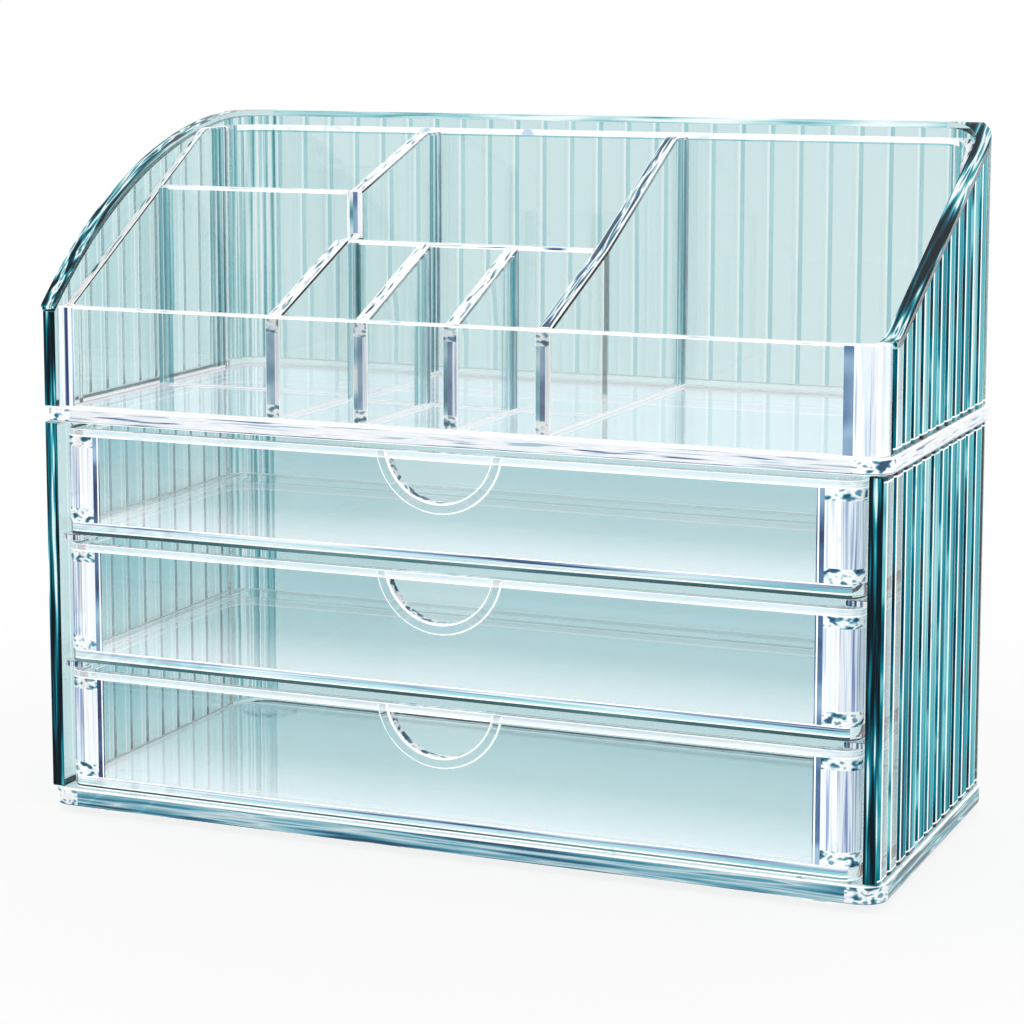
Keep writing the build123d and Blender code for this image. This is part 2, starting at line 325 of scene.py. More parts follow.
# dark and white patches of painted reflection, on rounded corners, the grip's tunnel, short sheet ends
# and pads
painted_reflection_patches = dashed(
    "edge_painted_light_and_shade_clear_corner", (3.5, 3.5, 2.2),
    "34 #0B2F55 41 #2A7E93 46 #C7DFEA 50 #FFFFFF 60 #FFFFFF 66 #5E93A6")
slab_edge = dashed(
    "edge_painted_light_and_shade_clear_slab", (24, 20, 0.8),
    "29 #35517F 33 #8FA9C9 38 #DFEAF3 46 #FFFFFF 54 #E6F0F6 61 #FFFFFF 67 #9FBFD0", glow=0.08)
slab_shadow = dashed(
    "edge_painted_light_and_shade_slab_underside", (20, 20, 20), "34 #1B3E5C 48 #4F8094 60 #C3DCE4", 0.2, glow=0.0)
aqua_edge = dashed(
    "edge_painted_light_and_shade_aqua_slab", (48, 30, 1.5),
    "32 #0A3F63 39 #2583A0 46 #6CB4CA 53 #9FCEDC 59 #E2F3F7 66 #4FA5BA", glow=0.05)
deep_edge = dashed(
    "edge_painted_light_and_shade_deep_aqua_slab", (30, 36, 1.5),
    "36 #022F3D 46 #0B6E7E 52 #4FB3BE 56 #E9FAFA 62 #2B93A6", 0.2, glow=0.05, gloss=0.2)
# a milky band with a painted glow under a drawer's rim, and painted reflections along its foot: a blue
# line and an aqua one
pale_band = dashed("edge_painted_light_and_shade_clear_band", (60, 60, 30), "30 #DCEAF1 70 #F5FAFC", 0.5)
navy_band = dashed(
    "drawer_foot_blue_line", (70, 70, 0.9), "34 #1F3566 42 #6F8FB4 52 #B4CBDF 62 #E9F2F8", 0.25)
aqua_band = dashed("drawer_foot_aqua_line", (70, 70, 3), "34 #6FC0CA 50 #A9DDE1 64 #DDF3F4")
# a painted shadow for the gap under a drawer
painted_gap_shadow = dashed(
    "drawer_foot_shadow_line", (90, 90, 20), "30 #0F3E46 55 #27606A 70 #6FA3A9", 0.2, glow=0.0)

# a painted highlight hairline on the teal walls, with a painted glow
painted_teal_highlight = dashed(
    "edge_painted_light_and_shade_teal_hairline", (9, 9, 9), "22 #9FD0D6 32 #FFFFFF", 0.2, glow=0.3)
teal_outline = dashed(
    "edge_painted_light_and_shade_teal_outline", (10, 10, 10),
    "34 #01161F 48 #034E5D 60 #1F8F9C 68 #BFEFF0", 0.1, glow=0.0, gloss=0.1)
teal_slope = dashed(
    "edge_painted_light_and_shade_teal_slope", (1.6, 32, 2.0),
    "38 #01161F 46 #034557 51 #0F8797 55 #70C6CE 58 #F2FDFD 62 #FFFFFF 66 #1E93A1",
    0.05, slope_angle, 0.05, 0.1)
teal_across = dashed(
    "edge_painted_light_and_shade_teal_across", (34, 3, 1.6), "32 #2B8A96 42 #8CC8CE 52 #BFE1E4 62 #EEF9FA")
teal_upright = dashed(
    "edge_painted_light_and_shade_teal_upright", (1.4, 1.4, 34),
    "44 #01141F 50 #023443 55 #056173 60 #0C8799 64 #4FC7D1 68 #EFFFFF", 0.0, glow=0.0, gloss=0.1)
# a painted teal band of shade on one shoulder of each rear reed, and under the rear liner's top
reed_band = dashed("reed_shoulder_teal", (12, 12, 80), "30 #76BCC4 70 #A3D5D9", 0.8, glow=0.1)
# painted shade on the steep shoulders of the side reeds: dark lines on the right wall, softer ones on
# the left
painted_reed_shade = dashed(
    "reed_shoulder_painted_shade", (30, 14, 26),
    "36 #02303F 48 #03596B 58 #0E8697 67 #7AD0D6", 0.0, glow=0.04, gloss=0.0)
painted_left_reed_shade = dashed(
    "reed_shoulder_soft_painted_shade", (30, 14, 40), "36 #053F4C 50 #126B79 64 #62B1BA", 1.0, glow=0.03)
teal_glow = dashed(
    "sheet_end_teal_streaks", (3.0, 3.0, 200),
    "34 #05505F 42 #2E8D9B 49 #9ED0D6 55 #FFFFFF 62 #BFE0E4 68 #2A7F90", 0.85, glow=0.08)
print("edge finishes:", len(finishes) - plastics)

# %% [markdown]
# ## Drawing a piece
# Most pieces are plates with rounded corners. The quickest clean way is to place the few corners
# of the outline, round them with a vertex bevel, extrude the face, and soften the sharp edges
# with an edge bevel. Polished acrylic edges catch a bright line only where they are rounded, so
# the faces that a bevel makes get the edge finish, with its painted highlight, straight away.

# %% Helpers for meshes
X, Y, Z = Vector((1, 0, 0)), Vector((0, 1, 0)), Vector((0, 0, 1))
small_radius = 5.0
polish = 0.35
# limits of a normal's parts, for faces that look squarely along an axis or that stand upright
square, tilt = 0.9, 0.3


def rectangle(x0, x1, y0, y1, front=0, rear=0):
    """Plan corners (x, y, radius) of a block, with the radii of its front and its rear corners."""
    return [(x0, y0, front), (x1, y0, front), (x1, y1, rear), (x0, y1, rear)]


def flat_face(bm, corners):
    """One face through the given corners (x, y, z); returns its corner vertices."""
    verts = [bm.verts.new(c) for c in corners]
    bm.faces.new(verts)
    return verts


def round_corner(bm, vert, radius, segments=8):
    """Rounds a corner of a flat face. The offset is the length from the corner to the arc's end."""
    if radius > 0:
        a, b = [(e.other_vert(vert).co - vert.co).normalized() for e in vert.link_edges]
        reach = radius / (sqrt((1 - a.dot(b)) / (1 + a.dot(b))))
        bmesh.ops.bevel(bm, geom=[vert], offset=reach, offset_type="OFFSET", segments=segments,
                        profile=0.5, affect="VERTICES", material=-1, clamp_overlap=False)


def thicken(bm, faces, move):
    """Extrudes faces by the vector move."""
    made = bmesh.ops.extrude_face_region(bm, geom=list(faces))["geom"]
    verts = [g for g in made if isinstance(g, bmesh.types.BMVert)]
    bmesh.ops.translate(bm, verts=verts, vec=move)


def face_outward(bm):
    bmesh.ops.recalc_face_normals(bm, faces=bm.faces)


def draw_out(bm, outline, move, segments=8, small=8):
    """A solid from an outline of (corner, radius), drawn out by the vector move. Corners with a small
    radius get a number of segments of their own."""
    verts = flat_face(bm, [corner for corner, radius in outline])
    for vert, (corner, radius) in zip(verts, outline):
        round_corner(bm, vert, radius, segments if radius > small_radius else small)
    thicken(bm, bm.faces, move)
    face_outward(bm)


def plate(plan, z0, z1, segments=8, small=8):
    """A new upright plate between two heights from plan corners (x, y, radius)."""
    bm = bmesh.new()
    draw_out(bm, [((x, y, z0), r) for x, y, r in plan], (0, 0, z1 - z0), segments, small)
    return bm


def soften(bm, edges, width, segments=2, finish=0):
    """Rounds edges, as polishing does, and gives the new faces an edge finish."""
    made = bmesh.ops.bevel(bm, geom=list(edges), offset=width, offset_type="OFFSET", segments=segments,
                           profile=0.5, affect="EDGES", material=-1, clamp_overlap=True)
    for face in made["faces"]:
        face.material_index = finish


def split(bm, axis, *places, where=lambda centre: True):
    """Divides the faces whose centre passes a test, at places along an axis, and keeps both sides."""
    for place in places:
        faces = [f for f in bm.faces if where(f.calc_center_median())]
        geom = dict.fromkeys(g for f in faces for g in (f, *f.edges, *f.verts))
        bmesh.ops.bisect_plane(bm, geom=list(geom), dist=0.0001, plane_co=axis * place, plane_no=axis)


def sharp_edges(bm, angle=50, where=lambda edge: True):
    """Edges that pass a test and where two faces meet at more than angle, in degrees."""
    return [e for e in bm.edges
            if len(e.link_faces) == 2 and e.calc_face_angle(0) > radians(angle) and where(e)]


def soften_at(bm, z, width, segments=2, finish=0, angle=50):
    """Rounds the sharp edges that lie at one height."""
    level = sharp_edges(bm, angle, lambda edge: all(abs(v.co.z - z) < 0.01 for v in edge.verts))
    soften(bm, level, width, segments, finish)


def dress(bm, finish, where):
    """Gives a finish to the faces whose centre and normal pass a test."""
    bm.normal_update()
    for face in bm.faces:
        if where(face.calc_center_median(), face.normal):
            face.material_index = finish


def finish_piece(bm, name, body, node, plastic=clear):
    """Turns a drawing in millimetres into a piece that stands for a CAD node and rides with a body.
    Faces that have no finish yet are left as plain plastic."""
    for face in bm.faces:
        face.material_index = face.material_index or plastic
    shown = sorted({face.material_index for face in bm.faces})
    for face in bm.faces:
        face.material_index = shown.index(face.material_index)
    bmesh.ops.remove_doubles(bm, verts=bm.verts, dist=0.0005)
    face_outward(bm)
    bmesh.ops.scale(bm, verts=bm.verts, vec=(0.001,) * 3)
    open_edges = sum(not e.is_manifold for e in bm.edges)
    for face in bm.faces:
        face.smooth = True
    mesh = bpy.data.meshes.new(name)
    bm.to_mesh(mesh)
    bm.free()
    mesh.set_sharp_from_angle(angle=radians(32))
    for number in shown:
        mesh.materials.append(finishes[number])
    piece = bpy.data.objects.new(name, mesh)
    scene.collection.objects.link(piece)
    flat = piece.modifiers.new("flat_faces_stay_flat", "WEIGHTED_NORMAL")
    flat.mode, flat.weight, flat.keep_sharp = "FACE_AREA", 80, True
    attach(piece, body)
    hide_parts(node)
    print(f"{name}: {len(mesh.polygons)} faces, {open_edges} open edges")


# %% [markdown]
# ## The two slabs
# Each storey stands on a flat clear slab that is wider than the walls by less than a millimetre.
# Its front corners are tighter than its rear ones. Its edge has a painted glow, white under the tray,
# and aqua under the teal cabinet, with painted highlights and painted reflections.

# %% Slabs
corner_light = 11.0
slab_front_radius, slab_rear_radius, slab_round = 8.0, 18.0, 0.6


def slab(name, node, body, plastic, edge_finish, side_finish):
    low, high = box_mm(node)
    bm = plate(rectangle(low.x, high.x, low.y, high.y, slab_front_radius, slab_rear_radius),
               low.z, high.z, 12)
    split(bm, X, low.x + corner_light, high.x - corner_light)
    # painted highlights and reflections on the edge, painted reflection patches at the front corners,
    # and a painted shadow on the underside's rounding
    dress(bm, edge_finish, lambda c, n: abs(n.z) < 0.5)
    dress(bm, side_finish, lambda c, n: abs(n.x) > square)
    dress(bm, painted_reflection_patches, lambda c, n: abs(n.z) < 0.5 and abs(c.x) > high.x - corner_light
          and c.y < low.y + slab_front_radius + 1)
    soften(bm, sharp_edges(bm), slab_round, 3, painted_highlight_line)
    dress(bm, slab_shadow, lambda c, n: c.z < low.z + slab_round and -0.5 < n.z < -0.1)
    finish_piece(bm, name, body, node, plastic)


slab("base_slab", "cabinet_base", "cabinet", aqua_plastic, aqua_edge, deep_edge)
slab("tray_slab", "tray_base", "tray", slab_plastic, slab_edge, slab_edge)

# %% [markdown]
# ## Reeded walls
# The walls are one bent sheet with vertical reeds outside and a flat face inside. A reed here is a
# nearly flat strip with rounded shoulders, and a narrow groove parts it from the next one. The
# outline in plan gets a corner at each side of a groove and at each shoulder, and the shoulders
# are rounded with a vertex bevel.

# %% Outline of the reeds
shoulder = 1.7
groove_width = 0.9
groove_depth = 0.7
crown_round = 2.0
level_round = 0.5


def reed_corners(at, length, inner=0):
    """Corners of the reeds along a path; at(s, depth) is the place at length s, sunk by depth.
    inner more corners bend the strip between the shoulders."""
    count = max(1, round(length / reed_pitch))
    step = length / count
    corners = []
    for i in range(count):
        s = i * step
        corners += [(at(s, groove_depth), 0), (at(s + groove_width, groove_depth), 0),
                    (at(s + groove_width + shoulder, 0), crown_round)]
        flat = step - groove_width - 2 * shoulder
        corners += [(at(s + groove_width + shoulder + flat * (k + 1) / (inner + 1), 0), 0)
                    for k in range(inner)]
        corners.append((at(s + step - shoulder, 0), crown_round))
    return corners


def straight(start, end, outward):
    """Reeds from start to end; start and end lie on the crown line."""
    start, end, outward = Vector(start), Vector(end), Vector(outward)
    along = (end - start).normalized()
    length = (end - start).length
    return reed_corners(lambda s, depth: tuple(start + along * s - outward * depth), length)


def quarter(centre_x, first_angle):
    """Reeds round a rear corner, clockwise from first_angle."""
    def at(s, depth):
        angle = radians(first_angle) - s / bend_radius
        radius = bend_radius - depth
        return centre_x + radius * cos(angle), corner_start + radius * sin(angle)
    return reed_corners(at, bend_radius * pi / 2, 4)


def inside(right_front):
    """The bent sheet's inner outline, from its right front end to its left one."""
    return [(inner_x, right_front, 0), (inner_x, inner_rear, bend), (-inner_x, inner_rear, bend),
            (-inner_x, wall_front, 0)]


def wall_plan(right_front, reeded_rear):
    """Plan corners (x, y, radius) of the whole bent sheet."""
    path = straight((-crown_x, wall_front), (-crown_x, corner_start), (-1, 0)) + quarter(-bend_x, 180)
    if reeded_rear:
        path += straight((-bend_x, wall_rear), (bend_x, wall_rear), (0, 1))
    path += quarter(bend_x, 90) + straight((crown_x, corner_start), (crown_x, right_front), (1, 0))
    return [(x, y, r) for (x, y), r in path + [((crown_x - groove_depth, right_front), 0)]
            ] + inside(right_front)


def outward(centre):
    """The horizontal direction that points straight out of the wall at a place."""
    side = 1 if centre.x > 0 else -1
    if centre.y < corner_start:
        return Vector((side, 0, 0))
    if abs(centre.x) < bend_x:
        return Vector((0, 1, 0))
    return Vector((centre.x - side * bend_x, centre.y - corner_start, 0)).normalized()


def sunk(centre):
    """How far a place on the outer face lies inside the crown line."""
    if centre.y < corner_start:
        return crown_x - abs(centre.x)
    if abs(centre.x) < bend_x:
        return wall_rear - centre.y
    return bend_radius - Vector((abs(centre.x) - bend_x, centre.y - corner_start)).length


def sideways(face):
    """How squarely a face of a wall looks along the wall's own outward direction, from 0 to 1."""
    return abs(face.normal.dot(outward(face.calc_center_median())))


pale_reach = 20.0
shoulder_lean = 0.345
crown_lean = 0.04


def dress_walls(bm):
    """Gives grooves, shoulders, hairlines and strips the finishes of the wall that they are on. On
    the right wall the hairlines are painted highlights, many steep shoulders carry painted shade, and
    the front ends carry painted dark and bright stripes.
    """
    bm.normal_update()
    for face in bm.faces:
        centre, normal = face.calc_center_median(), face.normal
        out, depth = outward(centre), sunk(centre)
        lean = normal.dot(Vector((out.y, -out.x, 0)))
        at_side, right = centre.y < corner_start, centre.x > 0
        if abs(normal.z) > 0.5 or face.material_index:
            continue
        # front ends: painted dark and bright stripes
        if normal.y < -0.9 and centre.y < return_rear + 1:
            finish = teal_upright
        elif depth > groove_depth + 0.1 or normal.dot(out) < 0.3:
            continue
        elif depth > groove_depth - 0.05 or at_side and crown_lean < abs(lean) <= shoulder_lean:
            finish = painted_teal_highlight if at_side and right else groove_plastic
        elif at_side and abs(lean) > shoulder_lean:
            finish = painted_reed_shade if right else painted_left_reed_shade if lean < 0 else left_plastic
        elif at_side and right:
            finish = front_plastic if centre.y < wall_front + pale_reach else right_plastic
        elif at_side:
            finish = left_plastic
        elif lean < -shoulder_lean:
            finish = reed_band
        elif abs(centre.x) > bend_x:
            finish = corner_plastic
        else:
            finish = rear_plastic if centre.z > cabinet_top else back_plastic
        face.material_index = finish


end_strip = 1.3
end_line = 0.5


def dress_reed_ends(bm, foot, top=None):
    """A painted dark line where the reeds end, with a painted highlight beside it, on the outer faces.
    """
    bm.normal_update()
    for face in bm.faces:
        centre = face.calc_center_median()
        away = min(centre.z - foot, top - centre.z if top else 99)
        if away < end_strip + end_line and sunk(centre) < 1 and face.normal.dot(outward(centre)) > 0.3:
            dark = teal_outline if centre.y < corner_start else groove_plastic
            face.material_index = dark if away < end_strip else painted_teal_highlight


# %% Cabinet walls
wall_foot, wall_top = box_mm("cabinet_shell")[0].z + AIR, cabinet_top - AIR
bm = plate(wall_plan(wall_front, False), wall_foot, wall_top, 12, 3)
for reach in (end_strip, end_strip + end_line):
    split(bm, Z, wall_top - reach, wall_foot + reach)
# the walls' top and bottom edges are rounded with a painted dark outline
for z in (wall_foot, wall_top):
    soften_at(bm, z, level_round, 2, teal_outline, 60)
dress_walls(bm)
dress_reed_ends(bm, wall_foot, wall_top)
finish_piece(bm, "cabinet_walls", "cabinet", "cabinet_shell", tinted)

# %% [markdown]
# ## Tray walls
# The tray's left wall falls to the front in a round arc, and the right one in a straight slope
# with a soft bend at its foot. The walls carry a plain rounded rim on top of the reeds. The sheet
# and the rim are raised to full height, divided across every few millimetres, and their upper
# vertices are then let down onto the two curves.

# %% The two rim lines
arc_rise = 13.0
slope_start = return_rear + 4.5
slope_blend = 18.0
rim_height, rim_round, rim_sink = 2.0, 1.5, 0.01
chord = Vector((inner_rear - wall_front, rim_top - front_top))
arc_radius = (chord.length_squared / 4 + arc_rise ** 2) / (2 * arc_rise)
upward = Vector((-chord.y, chord.x)).normalized()
arc_centre = Vector((wall_front, front_top)) + chord / 2 + upward * (arc_rise - arc_radius)


def left_rim(y):
    """Height of the arc over the left wall."""
    if y >= inner_rear:
        return rim_top
    return min(rim_top, arc_centre.y + sqrt(arc_radius ** 2 - (y - arc_centre.x) ** 2))


def right_rim(y, start=slope_start, end=inner_rear, foot=front_top, top=rim_top):
    """Height of the slope over the right wall, with its concave bend."""
    slope = atan2(top - foot, end - start)
    reach = slope_blend * tan(slope / 2)
    if y < start - reach:
        return foot
    if y < start + reach * cos(slope):
        return foot + slope_blend - sqrt(slope_blend ** 2 - (y - start + reach) ** 2)
    return min(top, foot + (y - start) * tan(slope))


def let_down(bm, at_top, drop=0.0):
    """Moves the vertices of the upper boundary onto the rim lines, lowered by drop."""
    for vert in bm.verts:
        if at_top(vert.co.z):
            rim = right_rim if vert.co.x > 0 else left_rim
            on_side = abs(vert.co.x) > bend_x - 0.01
            vert.co.z = (rim(vert.co.y) if on_side else rim_top) - drop


def divide(bm, step=3.5):
    """Cuts across the side walls every few millimetres, so that their tops can follow a curve."""
    split(bm, X, -bend_x, bend_x)
    count = round((inner_rear - wall_front) / step)
    split(bm, Y, *[wall_front + (inner_rear - wall_front) * i / count for i in range(1, count + 1)])


print("arc radius", round(arc_radius, 1), "mm")

# %% Tray walls
bm = plate(wall_plan(return_rear, True), sheet_foot, rim_top - rim_height - AIR, 12, 3)
divide(bm)
let_down(bm, lambda z: z > rim_top - rim_height - 1, rim_height + AIR)
split(bm, Z, sheet_foot + end_strip, sheet_foot + end_strip + end_line)
# the foot of the tray walls is rounded with a painted dark outline
soften_at(bm, sheet_foot, level_round, 2, teal_outline, 60)
dress_walls(bm)
dress_reed_ends(bm, sheet_foot)
walls_mesh = bpy.data.meshes.new("reeded_part")
bm.to_mesh(walls_mesh)
bm.free()

# %% Rim
outside = [(-crown_x, wall_front, 0), (-crown_x, wall_rear, bend_radius),
           (crown_x, wall_rear, bend_radius), (crown_x, return_rear, 0)]
bm = plate(outside + inside(return_rear), rim_top - rim_height, rim_top, 12, 3)
divide(bm)
let_down(bm, lambda z: z > rim_top - 0.01, rim_sink)
let_down(bm, lambda z: abs(z - rim_top + rim_height) < 0.01, rim_height)
bm.normal_update()
upper = sharp_edges(bm, 55, lambda e: any(sideways(f) < 0.4 and f.normal.z > 0.2
                                          for f in e.link_faces))
soften(bm, upper, rim_round, 4)
# painted dashes of highlight and reflection over the rim, a painted dark outline along its shoulders,
# and painted dashes across its rear
dress(bm, teal_slope, lambda c, n: True)
for face in bm.faces:
    if sideways(face) > 0.5:
        face.material_index = teal_outline if sideways(face) < 0.97 else tinted
dress(bm, teal_across, lambda c, n: abs(c.x) < bend_x and c.y > corner_start and n.y < 0.9
      and not 0.75 < n.z < 0.9)
bm.from_mesh(walls_mesh)
bpy.data.meshes.remove(walls_mesh)
finish_piece(bm, "tray_walls", "tray", "tray_shell", tinted)

# %% [markdown]
# ## Drawers
# Each drawer is one moulding: four walls and a floor. Its front has a half-round opening for a
# finger under the rim, with a raised lip around it. The outer form is a rounded block. The
# inside starts as a second outline at the rim, which is bridged to the outer one and drawn down
# to the floor. The front face is filled again with the opening left out.

# %% Drawer sizes
drawer_wall = 3.5
outer_corner, inner_corner = 5.5, 8.5
floor_fillet, drawer_round, grip_round = 1.5, 0.7, 0.5
grip_width, grip_drop = 42.0, 18.8
lip_width, lip_height, grip_bar = 3.4, 0.6, 2.6
lip_radius = ((grip_width / 2) ** 2 + grip_drop ** 2) / (2 * grip_drop)
hole_radius = lip_radius - lip_width
print("grip arc", round(lip_radius, 1), "mm outside,", round(hole_radius, 1), "mm inside")

# %% Finger opening


def arc_below(bm, geom, centre, angle, steps):
    """Turns geometry about the grip's axis, from -angle to +angle measured from straight down."""
    bmesh.ops.rotate(bm, verts=[g for g in geom if isinstance(g, bmesh.types.BMVert)], cent=centre,
                     matrix=Matrix.Rotation(angle, 3, (0, 1, 0)))
    bmesh.ops.spin(bm, geom=geom, cent=centre, axis=(0, 1, 0), angle=-2 * angle, steps=steps)


def cut_grip(bm, y_out, y_in, z1):
    """Cuts the opening through the front wall and rounds its edges."""
    axis_z = z1 + lip_radius - grip_drop
    angle = acos((axis_z - z1 + grip_bar) / hole_radius)
    loops = []
    for y, toward in ((y_out, -1), (y_in, 1)):
        wall = max((f for f in bm.faces if f.normal.y * toward > 0.9
                    and abs(f.calc_center_median().y - y) < 0.01), key=lambda f: f.calc_area())
        border = list(wall.edges)
        bmesh.ops.delete(bm, geom=[wall], context="FACES_ONLY")
        start = bm.verts.new((0, y, axis_z - hole_radius))
        arc_below(bm, [start], (0, y, axis_z), angle, 28)
        loop = [e for e in bm.edges if e.is_wire]
        ends = [v for e in loop for v in e.verts if len(v.link_edges) == 1]
        loop.append(bm.edges.new(ends))
        bmesh.ops.triangle_fill(bm, edges=border + loop, use_beauty=True, normal=(0, toward, 0))
        loops.append(loop)
    # the tunnel gets painted reflection patches and its rims painted highlights
    tunnel = bmesh.ops.bridge_loops(bm, edges=loops[0] + loops[1])["faces"]
    for face in tunnel:
        face.material_index = painted_reflection_patches
    soften(bm, loops[0] + loops[1], grip_round, 2, painted_highlight_line)


def add_lip(bm, y_out, z1):
    """The raised half ring round the opening, its ends at the rim."""
    axis_z = z1 + lip_radius - grip_drop
    outer, inner = axis_z - lip_radius, axis_z - hole_radius
    verts = flat_face(bm, [(0, y_out - AIR, outer), (0, y_out - lip_height, outer),
                           (0, y_out - lip_height, inner), (0, y_out - AIR, inner)])
    for vert in verts[1:3]:
        round_corner(bm, vert, grip_round, 4)
    section = [f for f in bm.faces if all(abs(v.co.x) < 1e-6 for v in f.verts)]
    geom = dict.fromkeys(g for f in section for g in (f, *f.edges, *f.verts))
    arc_below(bm, list(geom), (0, y_out, axis_z), acos((axis_z - z1 + 0.5) / lip_radius), 36)
    bm.normal_update()
    # the lip's rounded edges get a painted highlight
    middle = (lip_radius + hole_radius) / 2
    for face in bm.faces:
        centre = face.calc_center_median()
        if centre.y < y_out - AIR / 2:
            off = abs(sqrt(centre.x ** 2 + (centre.z - axis_z) ** 2) - middle)
            face.material_index = painted_highlight_line if off > 0.9 else clear


# %% Bands and bars of a drawer
rim_band = 2.4
hairline = 0.5
# each band and bar is given by where it starts and ends, in mm from the foot or from the side
# painted light on the drawer's front: white hairlines are painted highlights, the navy, pale and lilac
# bars and the blue and aqua bands painted reflections, and the lowest band a painted shadow
foot_bands = ((0.7, 1.3, painted_gap_shadow), (1.3, 1.8, painted_highlight_line), (1.8, 2.8, aqua_band),
              (2.8, 3.9, navy_band), (3.9, 4.3, painted_highlight_line))
corner_bars = ((13.5, 13.1, navy_bar), (13.1, 12.6, painted_highlight_line), (12.6, 11.1, navy_bar),
               (11.1, 6.9, pale_bar), (6.9, 6.2, painted_highlight_line), (6.2, 0.0, lilac_bar))
bands_top = foot_bands[-1][1]
bar_head = 3.5
bar_foot = 4.5
bar_reach = 11.1


def dress_drawer(bm, low, high):
    """Painted highlight hairlines and bands of painted light along the rim and the foot of the front,
    and bars striped with painted highlights and painted reflections at its corners.
    """
    bar_low, bar_high = low.z + bands_top, high.z - rim_band
    dress(bm, painted_highlight_line, lambda c, n: abs(n.z) < tilt and bar_high < c.z < bar_high + hairline)
    dress(bm, pale_band, lambda c, n: abs(n.z) < tilt and c.z > bar_high + hairline and n.y < -0.5)
    for start, end, finish in foot_bands:
        dress(bm, finish, lambda c, n: abs(n.z) < tilt and start < c.z - low.z < end and n.y < -0.5
              and c.y < wall_front + 1)

    def in_bar(c, n, start, end=0.0):
        return (abs(n.z) < tilt and high.x - start < abs(c.x) < high.x - end and n.y < -0.02
                and c.y < wall_front + outer_corner and bar_low < c.z < bar_high)

    for start, end, finish in corner_bars:
        dress(bm, finish, lambda c, n: in_bar(c, n, start, end))
    dress(bm, painted_reflection_patches, lambda c, n: in_bar(c, n, bar_reach)
          and not bar_low + bar_foot < c.z < bar_high - bar_head)


# %% Drawers


def drawer(tier):
    low, high = box_mm(f"drawer_{tier}")
    front = wall_front
    # the rounded block
    bm = plate(rectangle(low.x, high.x, front, high.y, outer_corner, outer_corner), low.z, high.z, 6)
    top = max(bm.faces, key=lambda f: f.calc_center_median().z)
    rim = list(top.edges)
    bmesh.ops.delete(bm, geom=[top], context="FACES_ONLY")
    # the inside, from the rim to the floor
    hollow = rectangle(low.x + drawer_wall, high.x - drawer_wall,
                       front + drawer_wall, high.y - drawer_wall)
    for vert in flat_face(bm, [(x, y, high.z) for x, y, r in hollow]):
        round_corner(bm, vert, inner_corner, 6)
    inner = max(bm.faces, key=lambda f: f.calc_center_median().z)
    inner_rim = list(inner.edges)
    thicken(bm, [inner], (0, 0, low.z + drawer_wall - high.z))
    doubled = [f for f in bm.faces
               if len(f.edges) > 8 and abs(f.calc_center_median().z - high.z) < 1e-3]
    bmesh.ops.delete(bm, geom=doubled, context="FACES_ONLY")
    bmesh.ops.bridge_loops(bm, edges=rim + inner_rim)
    face_outward(bm)
    # lines that part the bands and bars of the walls
    split(bm, Z, high.z - rim_band, high.z - rim_band + hairline, low.z + bands_top,
          *[low.z + start for start, end, finish in foot_bands[1:]])
    split(bm, X, *[side * (high.x - start) for start, end, finish in corner_bars for side in (-1, 1)])
    face_outward(bm)
    cut_grip(bm, front, front + drawer_wall, high.z)
    split(bm, Z, low.z + bands_top + bar_foot, high.z - rim_band - bar_head,
          where=lambda centre: abs(centre.x) > high.x - bar_reach)
    floor_z = low.z + drawer_wall
    soften_at(bm, floor_z, floor_fillet, 4)
    soften_at(bm, high.z, drawer_round, 3, painted_highlight_line)
    soften_at(bm, low.z, drawer_round, 2, painted_highlight_line if tier == "bottom" else painted_gap_shadow)
    dress_drawer(bm, low, high)
    dress(bm, floor_plastic, lambda c, n: abs(c.z - floor_z) < 0.01 and n.z > square)
    # painted highlight lines where the inside walls meet the floor
    dress(bm, painted_highlight_line, lambda c, n: floor_z < c.z < floor_z + floor_fillet
          and (0.1 < n.z < 0.4 or 0.9 < n.z < 0.99)
          and abs(c.x) < high.x - drawer_wall and front + drawer_wall < c.y < high.y - drawer_wall)
    add_lip(bm, front, high.z)
    finish_piece(bm, f"{tier}_drawer_box", f"{tier}_drawer", f"drawer_{tier}", drawer_plastic)


for tier in ("bottom", "middle", "top"):
    drawer(tier)

# %% [markdown]
# ## Tray front
# A low clear wall closes the tray at the front. At its left end it thickens into a square post
# that stands inside the tinted wall. At its right end it turns the corner and runs back a little.

# %% Tray front
sheet_round, front_round = 1.3, 1.45


def prism(plan, z0, z1, top=sheet_round, edge=polish, core=across):
    """An upright clear plate from plan corners (x, y, radius). Its rounded top has a finish of its
    own, of painted highlights and reflections, between two painted highlight hairlines."""
    bm = plate(plan, z0, z1)
    dress(bm, core, lambda c, n: n.z > square)
    soften_at(bm, z1, top, 4, core)
    if core:
        dress(bm, painted_highlight_line, lambda c, n: c.z > z1 - top and 0.05 < n.z < 0.35)
    soften(bm, sharp_edges(bm), edge, 2, painted_highlight_line)
    return bm


front_thickness, post_depth, post_width, bars_width = 3.5, 6.5, 7.0, 8.0
front_inner = wall_front + front_thickness
post_rear = wall_front + post_depth
post_edge = -inner_x + post_width
corner_edge = inner_x - bars_width
bm = prism([
    (-inner_x + AIR, wall_front, 2.0), (valley_x, wall_front, 6.0), (valley_x, return_rear - AIR, 0),
    (inner_x, return_rear - AIR, 0), (inner_x, front_inner, 4.5), (post_edge, front_inner, 0),
    (post_edge, post_rear, 0), (-inner_x + AIR, post_rear, 0),
], sheet_foot, front_top, front_round)
